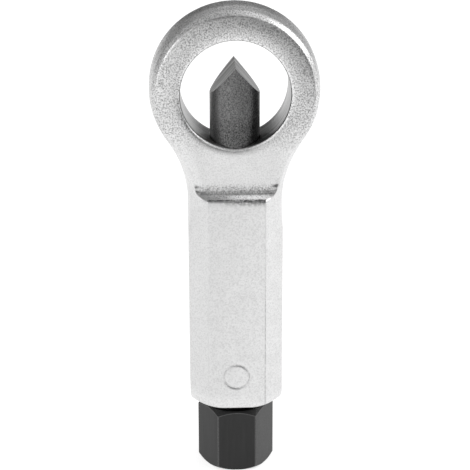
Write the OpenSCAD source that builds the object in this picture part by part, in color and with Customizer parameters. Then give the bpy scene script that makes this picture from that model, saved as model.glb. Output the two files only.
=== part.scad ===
// Ring-type nut splitter, standing upright on the hexagon of its drive screw.
// The tool axis is Z, the ring is at the top and its through hole runs along Y.

/* [Ring] */
// Diameter of the hole that goes over the nut
ring_hole_d = 27; // [24:0.5:30]
// Largest diameter of the ring, along its parting line
ring_outer_d = 42.2; // [40:0.1:48]
// Thickness of the ring between its two flat faces
ring_thickness = 13.8; // [12:0.1:16]
// Radial distance from the edge of the ring's face to its widest line
ring_edge_inset = 1.55; // [1.2:0.05:2.4]
// Length of the front bevel along the ring's axis
ring_bevel_depth = 1.6; // [1:0.1:2.4]
// Radial draft between the front bevel and the widest line
ring_draft = 0.55; // [0.2:0.05:0.9]
// Where the widest line starts, in front of the middle plane
rim_front = 0.8; // [0:0.1:2.4]
// Where the widest line ends, behind the middle plane
rim_back = 4.4; // [3:0.1:5]
// Width of the zone where the ring's faces fall off to their edges
ring_crown_width = 2.5; // [1.5:0.1:3]
// Fall of the faces over that zone
ring_crown_drop = 0.35; // [0.1:0.05:0.6]
// Broken edge of the hole at both faces
ring_hole_edge = 0.35; // [0.1:0.05:0.8]
// Height of the ring's centre above the end of the handle
ring_reach = 82.4; // [76:0.2:96]

/* [Neck] */
// Radius of the hollow curve between the ring and the handle
neck_radius = 29.5; // [24:0.5:34]
// Height of the handle's shoulder above the start of that curve
shoulder_rise = 3.3; // [2:0.1:6]
// Height over which the shoulder steps back from the handle to the ring's face
shoulder_height = 2.6; // [2:0.1:4]
// Radius of the shoulder's hollow
shoulder_radius = 4.6; // [4:0.1:8]

/* [Handle] */
// Width of the handle across its sides
handle_width = 23.6; // [22:0.2:27]
// Depth of the handle from its front flat to its back flat
handle_depth = 19.8; // [18:0.2:23]
// Size of the four lengthwise chamfers
handle_chamfer = 4.6; // [3.6:0.1:5.4]
// Diameter of the flat that is left on the turned end of the handle
end_face_d = 20.8; // [18:0.2:22]
// Slope of the turned end, from the end face
end_slope = 30; // [20:1:45]
// Diameter of the stamped circle on the front flat
mark_d = 7; // [4:0.2:9]
// Width of the stamped line
mark_line = 0.6; // [0.4:0.1:1]
// Depth of the stamped line
mark_depth = 0.25; // [0.1:0.05:0.4]
// Height of the stamped circle above the end of the handle
mark_height = 9.1; // [6:0.1:14]

/* [Drive screw] */
// Width of the hexagon across its flats
hex_flats = 17; // [16:0.5:19]
// Length of the hexagon
hex_length = 16.65; // [12:0.05:22]
// Diameter of the flat that turning leaves under the handle
hex_face_d = 16.4; // [15:0.1:17]
// Diameter of the flat that turning leaves on the foot
hex_foot_d = 16.8; // [15:0.1:17]
// Slope of the turned ends of the hexagon, from the end face
hex_slope = 38; // [25:1:45]
// Nominal diameter of the thread
thread_d = 14; // [13.4:0.1:15]
// Advance of the screw in one turn
thread_lead = 1.5; // [1:0.25:2]
// Room between the thread's crest and its bore, on the radius
thread_clearance = 0.05; // [0.02:0.01:0.1]
// Length of the screw from the hexagon to its nose
shank_length = 33.55; // [30:0.05:38]
// Diameter of the relief under the hexagon
relief_d = 11.6; // [10:0.2:12.4]
// Length of that relief
relief_length = 2.5; // [1.5:0.1:4]
// Chamfer on the screw's nose
nose_chamfer = 1; // [0.5:0.1:1.5]
// Turns that the screw goes in from the rest position until its head meets the handle
turns_in = 1; // [1:1:2]
// Turns that the screw backs out until the chisel has left the ring
turns_out = 14; // [8:1:15]
// Room that is left under the head when it is fully in
head_clearance = 0.05; // [0.02:0.01:0.2]

/* [Swivel] */
// Diameter of the spigot that carries the chisel
spigot_d = 7.6; // [7:0.1:8]
// Length of the spigot
spigot_length = 5; // [4.6:0.1:6]
// Room between the spigot and the chisel's socket, on the radius
spigot_clearance = 0.08; // [0.03:0.01:0.1]
// Diameter of the thrust ball
ball_d = 5; // [4.6:0.1:5.2]
// Room around the ball in its two seats
ball_clearance = 0.04; // [0.02:0.01:0.08]
// Distance between the end of the spigot and the bottom of the socket
spigot_gap = 1; // [0.6:0.1:1.4]
// Wire diameter of the snap ring
snap_wire_d = 1; // [0.8:0.05:1.1]
// Height of the snap ring above the screw's nose
snap_height = 1.5; // [1.3:0.1:1.7]
// Room around the wire in its grooves
snap_clearance = 0.06; // [0.03:0.01:0.1]
// Angle of the snap ring's gap
snap_gap_angle = 40; // [20:5:80]

/* [Chisel] */
// Diameter of the chisel
chisel_d = 12.4; // [11.8:0.1:12.8]
// Room between the chisel and its guide bore, on the radius
guide_clearance = 0.05; // [0.02:0.01:0.1]
// Angle between the two ground faces of the edge
edge_angle = 80; // [60:1:90]
// Height of the cutting edge above the ring's centre at rest
edge_height = 6.6; // [2:0.1:9]
// Room between the chisel's lower end and the screw's nose
base_gap = 0.3; // [0.2:0.05:0.6]
// Chamfer around the chisel's lower end
base_chamfer = 0.6; // [0.3:0.1:1]
// Depth of the keyway along the chisel's back
keyway_depth = 1.8; // [1.4:0.1:2]
// Steel between the ball's seat and the keyway's lower end
keyway_land = 1.2; // [0.8:0.1:2.4]

/* [Guide pin] */
// Diameter of the pin that keeps the chisel from turning
pin_d = 3; // [2.4:0.1:3.4]
// Room between the pin and the keyway's walls
pin_clearance = 0.1; // [0.05:0.01:0.2]
// Room between the pin and the keyway's floor
pin_end_clearance = 0.15; // [0.1:0.05:0.4]
// Room around the pin in the handle, on the radius
pin_seat_clearance = 0.01; // [0.005:0.005:0.02]

/* [Hidden] */
$fn = 96;
// Overlap that makes a cut or a joined shape reach past a face
past = 1;
// How far the hollow curves of the neck run into the ring and the handle
neck_overlap = 0.02;

// Travel
travel_in = turns_in * thread_lead;
travel_out = turns_out * thread_lead;

// Heights along the tool axis, from the foot of the hexagon
body_end_z = hex_length + travel_in + head_clearance;
ring_z = body_end_z + ring_reach;
edge_z = ring_z + edge_height;
nose_z = hex_length + shank_length;
spigot_top_z = nose_z + spigot_length;
ball_z = spigot_top_z + spigot_gap / 2;
socket_top_z = spigot_top_z + spigot_gap;
seat_reach = ball_d / 2 + ball_clearance;
snap_z = nose_z + snap_height;
base_z = nose_z + base_gap;
thread_top_z = nose_z + travel_in + thread_lead;

// Ring and neck
ring_r = ring_outer_d / 2;
ring_face_y = ring_thickness / 2;
edge_y = ring_face_y - ring_crown_drop;
crown_inset = ring_edge_inset + ring_crown_width;
handle_x = handle_width / 2;
handle_y = handle_depth / 2;
neck_x = handle_x + neck_radius - neck_overlap;
neck_reach = ring_r + neck_radius - neck_overlap;
neck_drop = sqrt(neck_reach * neck_reach - neck_x * neck_x);
neck_z = ring_z - neck_drop;
shoulder_z = neck_z + shoulder_rise;
shoulder_step = handle_y - ring_face_y;
shoulder_chord = norm([shoulder_step, shoulder_height]);
hollow_off = sqrt(pow(shoulder_radius, 2) - pow(shoulder_chord / 2, 2)) / shoulder_chord;
hollow_y = (handle_y + ring_face_y) / 2 + hollow_off * shoulder_height;
shoulder_top_z = shoulder_z + shoulder_height / 2 + hollow_off * shoulder_step;
corner_r = norm([handle_x, handle_y - handle_chamfer]);
// Rim of the forging: inset from its widest line, and distance in front of the middle plane
rim = [
    [ring_edge_inset, edge_y],
    [ring_draft, edge_y - ring_bevel_depth],
    [0, rim_front],
    [0, -rim_back],
    [ring_edge_inset, -edge_y]
];

// Hexagon
hex_r = hex_flats / sqrt(3);

// Chisel, keyway and pin
chisel_r = chisel_d / 2;
socket_r = spigot_d / 2 + spigot_clearance;
snap_r = spigot_d / 2 + spigot_clearance / 2;
keyway_floor_y = chisel_r - keyway_depth;
keyway_w = pin_d + 2 * pin_clearance;
keyway_low_z = ball_z + seat_reach + keyway_land;
pin_z = keyway_low_z + keyway_w / 2 + travel_in + pin_clearance;
keyway_high_z = pin_z + travel_out + keyway_w / 2 + pin_clearance;
edge_rise = chisel_r / tan(edge_angle / 2);

// Solid of revolution about the ring's axis from half of its outline, as radius and distance
module around_ring_axis(outline) {
    rotate([90, 0, 0])
        rotate_extrude()
            polygon(outline);
}

// Outline that is the same on both sides of the middle plane
function both_sides(half) =
    concat(half, [for (i = [len(half) - 1 : -1 : 0]) [half[i][0], -half[i][1]]]);

// Forged eye with its drafted rim and crowned faces, still without its hole
module eye() {
    crown_r = ring_r - crown_inset;
    translate([0, 0, ring_z])
        around_ring_axis(concat(
            [[0, ring_face_y], [crown_r, ring_face_y]],
            [for (point = rim) [ring_r - point[0], point[1]]],
            [[crown_r, -ring_face_y], [0, -ring_face_y]]
        ));
}

// Hole of the ring with a broken edge at both faces
module eye_hole() {
    hole_r = ring_hole_d / 2;
    translate([0, 0, ring_z])
        around_ring_axis(both_sides([
            [0, ring_face_y + past],
            [hole_r + ring_hole_edge + past, ring_face_y + past],
            [hole_r, ring_face_y - ring_hole_edge]
        ]));
}

// Spool that hollows one side of the forging and leaves the ring's own rim on it
// The two end points go on from the rim in front and behind
module spool(front_end, back_end) {
    translate([neck_x, 0, neck_z])
        around_ring_axis(concat(
            [[0, front_end[1]]],
            [for (point = concat([front_end], rim, [back_end])) [neck_radius + point[0], point[1]]],
            [[0, back_end[1]]]
        ));
}

// Spool for the neck, with the fall of the ring's faces
module neck_spool() {
    crown_run = ring_crown_width * past / ring_crown_drop;
    end_inset = crown_inset + crown_run;
    end_y = ring_face_y + past;
    spool([end_inset, end_y], [end_inset, -end_y]);
}

// Spool for the handle, which lets its corners run out into the neck and stays clear of its sides
module corner_spool() {
    reach = handle_y + past - edge_y;
    front_inset = ring_edge_inset + reach * (ring_edge_inset - ring_draft) / ring_bevel_depth;
    back_inset = ring_edge_inset + reach * ring_edge_inset / (edge_y - rim_back);
    spool([front_inset, edge_y + reach], [back_inset, -edge_y - reach]);
}

// Web that carries the ring on the handle
module neck() {
    touch = ring_r / neck_reach;
    touch_x = neck_x * touch;
    touch_z = ring_z - neck_drop * touch;
    difference() {
        rotate([90, 0, 0])
            linear_extrude(height = ring_thickness, center = true)
                polygon([
                    [-handle_x, neck_z],
                    [handle_x, neck_z],
                    [touch_x, touch_z],
                    [0, ring_z],
                    [-touch_x, touch_z]
                ]);
        for (side = [0, 1])
            mirror([side, 0, 0])
                neck_spool();
    }
}

// Section of the handle: a flat bar with four chamfers
module handle_section() {
    flat_x = handle_x - handle_chamfer;
    flat_y = handle_y - handle_chamfer;
    polygon([
        [handle_x, -flat_y],
        [handle_x, flat_y],
        [flat_x, handle_y],
        [-flat_x, handle_y],
        [-handle_x, flat_y],
        [-handle_x, -flat_y],
        [-flat_x, -handle_y],
        [flat_x, -handle_y]
    ]);
}

// Turned envelope that rounds off the corners at the handle's end
module turned_end() {
    outer_r = corner_r + past;
    rotate_extrude()
        polygon([
            [0, body_end_z],
            [end_face_d / 2, body_end_z],
            [outer_r, body_end_z + (outer_r - end_face_d / 2) * tan(end_slope)],
            [outer_r, shoulder_top_z],
            [0, shoulder_top_z]
        ]);
}

// Hollow shoulder where the handle's front flat steps back to the ring's face
module shoulder_cut() {
    translate([0, hollow_y, shoulder_top_z])
        rotate([0, 90, 0])
            cylinder(r = shoulder_radius, h = handle_width + 2 * past, center = true);
}

// Handle bar with its turned end, shoulders and corner run-outs
module bar() {
    difference() {
        intersection() {
            translate([0, 0, body_end_z])
                linear_extrude(height = shoulder_top_z - body_end_z)
                    handle_section();
            turned_end();
        }
        for (side = [0, 1])
            mirror([0, side, 0])
                shoulder_cut();
        for (side = [0, 1])
            mirror([side, 0, 0])
                translate([2 * neck_overlap, 0, 0])
                    corner_spool();
    }
}

// Bores for the screw and the chisel, in one line along the tool axis
module drive_bores() {
    translate([0, 0, body_end_z - past])
        cylinder(d = thread_d, h = thread_top_z - body_end_z + past);
    translate([0, 0, body_end_z])
        cylinder(r = chisel_r + guide_clearance, h = ring_reach);
}

// Hole across the back wall for the guide pin
module pin_hole() {
    translate([0, 0, pin_z])
        rotate([-90, 0, 0])
            cylinder(d = pin_d + 2 * pin_seat_clearance, h = handle_y + past);
}

// Circle stamped into the front flat
module stamped_circle() {
    translate([0, mark_depth - handle_y, body_end_z + mark_height])
        rotate([90, 0, 0])
            difference() {
                cylinder(d = mark_d, h = mark_depth + past);
                translate([0, 0, -past])
                    cylinder(d = mark_d - 2 * mark_line, h = mark_depth + 3 * past);
            }
}

// Forged body: ring, neck and handle in one piece
module frame() {
    color([0.84, 0.84, 0.84])
        difference() {
            union() {
                eye();
                neck();
                bar();
            }
            eye_hole();
            drive_bores();
            pin_hole();
            stamped_circle();
        }
}

// Half of the wedge that is ground away beside the cutting edge
module ground_face() {
    slab = 4 * chisel_d;
    translate([0, 0, edge_z])
        rotate([0, 90 - edge_angle / 2, 0])
            translate([-slab / 2, -slab / 2, 0])
                cube([slab, slab, slab]);
}

// Groove that half of the snap ring's wire sits in
module snap_groove() {
    translate([0, 0, snap_z])
        rotate_extrude()
            translate([snap_r, 0])
                circle(d = snap_wire_d + 2 * snap_clearance);
}

// Keyway with round ends along the chisel's back
module keyway() {
    translate([0, keyway_floor_y, 0]) {
        for (end_z = [keyway_low_z + keyway_w / 2, keyway_high_z - keyway_w / 2])
            translate([0, 0, end_z])
                rotate([-90, 0, 0])
                    cylinder(d = keyway_w, h = keyway_depth + past);
        translate([-keyway_w / 2, 0, keyway_low_z + keyway_w / 2])
            cube([keyway_w, keyway_depth + past, keyway_high_z - keyway_low_z - keyway_w]);
    }
}

// Hardened chisel that turns on the screw's spigot and slides in the handle
module chisel() {
    color([0.33, 0.33, 0.34])
        difference() {
            rotate_extrude()
                polygon([
                    [0, base_z],
                    [chisel_r - base_chamfer, base_z],
                    [chisel_r, base_z + base_chamfer],
                    [chisel_r, edge_z],
                    [0, edge_z]
                ]);
            for (side = [0, 1])
                mirror([side, 0, 0])
                    ground_face();
            translate([0, 0, base_z - past])
                cylinder(r = socket_r, h = socket_top_z - base_z + past);
            translate([0, 0, ball_z])
                cylinder(r = seat_reach, h = seat_reach);
            snap_groove();
            keyway();
        }
}

// Hexagon with both of its ends turned
module hexagon() {
    outer_r = hex_r + past;
    foot_rise = (outer_r - hex_foot_d / 2) * tan(hex_slope);
    top_drop = (outer_r - hex_face_d / 2) * tan(hex_slope);
    intersection() {
        cylinder(r = hex_r, h = hex_length, $fn = 6);
        rotate_extrude()
            polygon([
                [0, 0],
                [hex_foot_d / 2, 0],
                [outer_r, foot_rise],
                [outer_r, hex_length - top_drop],
                [hex_face_d / 2, hex_length],
                [0, hex_length]
            ]);
    }
}

// Drive screw: hexagon, relief, threaded shank and spigot
module drive_screw() {
    shank_r = thread_d / 2 - thread_clearance;
    color([0.22, 0.22, 0.23])
        difference() {
            union() {
                hexagon();
                rotate_extrude()
                    polygon([
                        [0, hex_length - past],
                        [relief_d / 2, hex_length - past],
                        [relief_d / 2, hex_length + relief_length],
                        [shank_r, hex_length + relief_length + shank_r - relief_d / 2],
                        [shank_r, nose_z - nose_chamfer],
                        [shank_r - nose_chamfer, nose_z],
                        [spigot_d / 2, nose_z],
                        [spigot_d / 2, spigot_top_z],
                        [0, spigot_top_z]
                    ]);
            }
            translate([0, 0, ball_z - seat_reach])
                cylinder(r = seat_reach, h = seat_reach);
            snap_groove();
        }
}

// Ball that takes the thrust between the screw and the chisel
module thrust_ball() {
    color([0.75, 0.75, 0.77])
        translate([0, 0, ball_z])
            sphere(d = ball_d);
}

// Split wire ring that draws the chisel back with the screw
module snap_ring() {
    color([0.45, 0.45, 0.47])
        translate([0, 0, snap_z])
            rotate([0, 0, snap_gap_angle / 2])
                rotate_extrude(angle = 360 - snap_gap_angle)
                    translate([snap_r, 0])
                        circle(d = snap_wire_d);
}

// Dowel in the handle's back wall that keeps the chisel's edge along the ring's axis
module guide_pin() {
    pin_low_y = keyway_floor_y + pin_end_clearance;
    color([0.62, 0.62, 0.64])
        translate([0, pin_low_y, pin_z])
            rotate([-90, 0, 0])
                cylinder(d = pin_d, h = handle_y - pin_low_y);
}

frame();
chisel();
drive_screw();
thrust_ball();
snap_ring();
guide_pin();
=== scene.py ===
"""Looks of a ring-type nut splitter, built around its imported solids.

The tool stands on the hexagon of its drive screw. The tool axis is Z, the through
hole of the ring runs along Y and the front faces -Y. Lengths are in metres, apart
from names that end in mm and the stretches of Span, Band and Circle.
"""

import logging
import math
from abc import ABC, abstractmethod
from collections.abc import Iterator, Sequence
from contextlib import contextmanager
from dataclasses import dataclass
from enum import Enum
from functools import reduce
from typing import Any

import bpy
from mathutils import Matrix, Vector


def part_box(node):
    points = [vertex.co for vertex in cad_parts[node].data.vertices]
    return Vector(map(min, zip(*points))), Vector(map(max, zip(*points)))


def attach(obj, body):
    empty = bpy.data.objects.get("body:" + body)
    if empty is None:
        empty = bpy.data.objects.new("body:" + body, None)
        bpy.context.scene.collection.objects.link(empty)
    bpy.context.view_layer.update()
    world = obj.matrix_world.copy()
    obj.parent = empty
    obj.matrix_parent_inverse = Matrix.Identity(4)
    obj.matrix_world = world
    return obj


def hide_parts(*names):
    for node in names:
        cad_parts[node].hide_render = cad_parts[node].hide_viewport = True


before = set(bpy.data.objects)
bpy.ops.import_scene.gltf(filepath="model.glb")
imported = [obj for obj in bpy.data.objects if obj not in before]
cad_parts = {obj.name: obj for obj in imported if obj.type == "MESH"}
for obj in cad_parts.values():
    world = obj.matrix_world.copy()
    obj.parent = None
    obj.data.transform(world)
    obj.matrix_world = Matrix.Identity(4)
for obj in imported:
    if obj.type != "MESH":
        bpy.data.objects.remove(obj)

MM = 0.001
# Distance under which two points of a mesh are the same point
WELD = 0.0005 * MM
FULL_TURN = 2 * math.pi
QUARTER_TURN = FULL_TURN / 4
# Facets of the half round of a groove
GROOVE_STEPS = 8
# Levels of a colour code, and constants of the sRGB curve
CODE_LEVELS = 255
SRGB_KNEE, SRGB_SLOPE, SRGB_OFFSET, SRGB_POWER = 0.04045, 12.92, 0.055, 2.4
# Numbers of the colour sockets of Blender's mix node
MIX_FIRST, MIX_SECOND, MIX_RESULT = 6, 7, 2
WHITE = "#FFFFFF"

LOG = logging.getLogger("nut_splitter")
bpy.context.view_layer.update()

Outline = Sequence[tuple[float, float]]
Colour = tuple[float, float, float, float]
Socket = bpy.types.NodeSocket


class Body(Enum):
    """Bodies that the pieces ride on."""

    FORGING = "frame"
    CHISEL = "chisel"
    SCREW = "drive_screw"


class Slot(Enum):
    """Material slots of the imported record."""

    FORGING = "plated_forging"
    TOOL_STEEL = "tool_steel"
    BLACK_OXIDE = "black_oxide_steel"
    DOWEL = "dowel_steel"


class Cut(Enum):
    """Ways to combine two closed meshes."""

    COMMON = "INTERSECT"
    JOIN = "UNION"
    REMOVE = "DIFFERENCE"


# Mesh tools


def select_only(piece: bpy.types.Object) -> None:
    """Makes one object the only selected one and the active one.

    Args:
        piece: the object to select.
    """
    bpy.ops.object.select_all(action="DESELECT")
    piece.select_set(True)
    bpy.context.view_layer.objects.active = piece


@contextmanager
def editing(piece: bpy.types.Object) -> Iterator[None]:
    """Opens a piece's mesh for editing, with all of it selected.

    Args:
        piece: the object whose mesh changes.

    Yields:
        Nothing. The piece is back in object mode afterwards.
    """
    select_only(piece)
    bpy.ops.object.mode_set(mode="EDIT")
    bpy.ops.mesh.select_all(action="SELECT")
    yield
    bpy.ops.object.mode_set(mode="OBJECT")


def apply_modifier(piece: bpy.types.Object, kind: str, **settings: Any) -> None:
    """Adds a modifier to a piece and applies it.

    Args:
        piece: the object whose mesh changes.
        kind: Blender's name of the modifier.
        **settings: values for the modifier's properties.
    """
    select_only(piece)
    modifier = piece.modifiers.new(kind.title(), kind)
    for key, value in settings.items():
        setattr(modifier, key, value)
    bpy.ops.object.modifier_apply(modifier=modifier.name)


def combine(piece: bpy.types.Object, tool: bpy.types.Object, cut: Cut) -> None:
    """Combines a piece with another closed mesh, which is used up.

    Args:
        piece: the object that is kept.
        tool: the object that is used up.
        cut: how they are combined.
    """
    apply_modifier(piece, "BOOLEAN", operation=cut.value, object=tool, solver="EXACT")
    bpy.data.objects.remove(tool)


def weld(piece: bpy.types.Object) -> None:
    """Merges the double points of a closed mesh and turns its faces outwards.

    Args:
        piece: the object whose mesh changes.
    """
    with editing(piece):
        bpy.ops.mesh.remove_doubles(threshold=WELD)
        bpy.ops.mesh.normals_make_consistent(inside=False)


def node_copy(node: str, name: str) -> bpy.types.Object:
    """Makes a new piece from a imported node's mesh, with its triangles merged.

    Args:
        node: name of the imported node.
        name: name of the new piece.

    Returns:
        The new object.
    """
    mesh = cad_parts[node].data.copy()
    mesh.materials.clear()
    piece = bpy.data.objects.new(name, mesh)
    bpy.context.scene.collection.objects.link(piece)
    select_only(piece)
    bpy.ops.mesh.customdata_custom_splitnormals_clear()
    with editing(piece):
        bpy.ops.mesh.remove_doubles(threshold=WELD)
    return piece


def wire(name: str, outline: Outline) -> bpy.types.Object:
    """Draws a line through points of the XZ plane, by extruding one vertex.

    Args:
        name: name of the new object.
        outline: radius and height of each point.

    Returns:
        The new object.
    """
    bpy.ops.mesh.primitive_plane_add(size=MM)
    line = bpy.context.object
    line.name = name
    radius, height = outline[0]
    with editing(line):
        bpy.ops.mesh.merge(type="CENTER")
        bpy.ops.transform.translate(value=(radius, 0.0, height))
        for (r0, z0), (r1, z1) in zip(outline, outline[1:]):
            bpy.ops.mesh.extrude_vertices_move(TRANSFORM_OT_translate={"value": (r1 - r0, 0.0, z1 - z0)})
    return line


def turned(name: str, outline: Outline, steps: int) -> bpy.types.Object:
    """Turns an outline that starts and ends on the tool axis into a solid.

    Args:
        name: name of the new object.
        outline: radius and height of each point.
        steps: facets around the axis.

    Returns:
        The new object.
    """
    piece = wire(name, outline)
    with editing(piece):
        bpy.ops.mesh.spin(steps=steps, angle=FULL_TURN, center=(0.0, 0.0, 0.0), axis=(0.0, 0.0, 1.0))
    weld(piece)
    return piece


def cylinder(name: str, radius: float, length: float, middle: Sequence[float],
             turn: tuple[float, float, float], steps: int) -> bpy.types.Object:
    """Makes a cylinder or a prism.

    Args:
        name: name of the new object.
        radius: its radius at the corners.
        length: its length.
        middle: where its middle lies.
        turn: how it is turned about the three axes.
        steps: its facets.

    Returns:
        The new object.
    """
    bpy.ops.object.select_all(action="DESELECT")
    bpy.ops.mesh.primitive_cylinder_add(
        vertices=steps, radius=radius, depth=length, location=middle, rotation=turn)
    piece = bpy.context.object
    piece.name = name
    bpy.ops.object.transform_apply(location=True, rotation=True, scale=True)
    return piece


def break_edges(piece: bpy.types.Object, width: float, steps: int, angle: float) -> None:
    """Rounds the edges of a piece that are sharper than an angle.

    Args:
        piece: the object whose mesh changes.
        width: width of the rounding.
        steps: its facets.
        angle: the limit in degrees.
    """
    apply_modifier(piece, "BEVEL", width=width, segments=steps, limit_method="ANGLE",
                   angle_limit=math.radians(angle))


def groove(wall_r: float, height: float, radius: float, outwards: int) -> Outline:
    """Draws the half round of a groove in a round wall.

    Args:
        wall_r: radius of the wall.
        height: height of the groove's middle.
        radius: radius of the half round.
        outwards: 1 for a groove in a bore, drawn downwards, and -1 for one in a shaft, drawn upwards.

    Returns:
        Radius and height of its points.
    """
    reach = outwards * radius
    turns = (math.pi * step / GROOVE_STEPS for step in range(GROOVE_STEPS + 1))
    return [(wall_r + reach * math.sin(turn), height + reach * math.cos(turn)) for turn in turns]


@dataclass(frozen=True)
class Span:
    """Stretch in millimetres over which a share rises from 0 to 1."""

    start: float
    end: float

    def share(self, length: float) -> float:
        """Gives the smooth share at a length.

        Args:
            length: the length in metres.

        Returns:
            0 before the stretch, 1 behind it and a smooth rise between.
        """
        t = min(max((length / MM - self.start) / (self.end - self.start), 0.0), 1.0)
        return t * t * (3 - 2 * t)


def mix(low: float, high: float, share: float) -> float:
    """Gives the value at a share of the way from one value to another."""
    return low + (high - low) * share


def smooth_below(piece: bpy.types.Object, angle: float) -> None:
    """Shades a piece smooth, apart from edges sharper than an angle.

    Args:
        piece: the object to shade.
        angle: the limit in degrees.
    """
    select_only(piece)
    bpy.ops.object.shade_smooth_by_angle(angle=math.radians(angle))


# Node tools


def linear(code: str) -> Colour:
    """Turns an sRGB hex colour into linear light.

    Args:
        code: the colour as six hex digits after a hash.

    Returns:
        Red, green and blue in linear light, and an alpha of 1.
    """
    levels = [int(code[i:i + 2], 16) / CODE_LEVELS for i in (1, 3, 5)]
    red, green, blue = (
        c / SRGB_SLOPE if c <= SRGB_KNEE else ((c + SRGB_OFFSET) / (1 + SRGB_OFFSET)) ** SRGB_POWER
        for c in levels)
    return red, green, blue, 1.0


def add_node(tree: bpy.types.NodeTree, kind: str, inputs: dict[str | int, Any] | None = None,
             **settings: Any) -> bpy.types.Node:
    """Adds a node with its settings, and sets or links its inputs.

    Args:
        tree: the tree that gets the node.
        kind: Blender's name of the node type.
        inputs: a value, or the socket of another node, for each input.
        **settings: values for the node's properties.

    Returns:
        The new node.
    """
    node = tree.nodes.new(kind)
    for key, value in settings.items():
        setattr(node, key, value)
    for socket, value in (inputs or {}).items():
        if isinstance(value, Socket):
            tree.links.new(value, node.inputs[socket])
        else:
            node.inputs[socket].default_value = value
    return node


def new_material(name: str) -> tuple[bpy.types.Material, bpy.types.NodeTree]:
    """Makes a material with an empty node tree.

    Args:
        name: name of the material.

    Returns:
        The material and its tree.
    """
    material = bpy.data.materials.new(name)
    material.use_nodes = True
    material.node_tree.nodes.clear()
    return material, material.node_tree


@dataclass(frozen=True)
class Ramp:
    """Levels between which a share rises evenly from 0 to 1."""

    start: float = 0.0
    end: float = 1.0


@dataclass(frozen=True)
class Band:
    """Stretch in millimetres about a middle, over which a share falls smoothly to 0 on both sides."""

    middle: float
    reach: float


@dataclass(frozen=True)
class Circle:
    """Round line on the front in millimetres, about an axis that runs from front to back."""

    height: float
    radius: float
    half_width: float
    share: float


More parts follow.
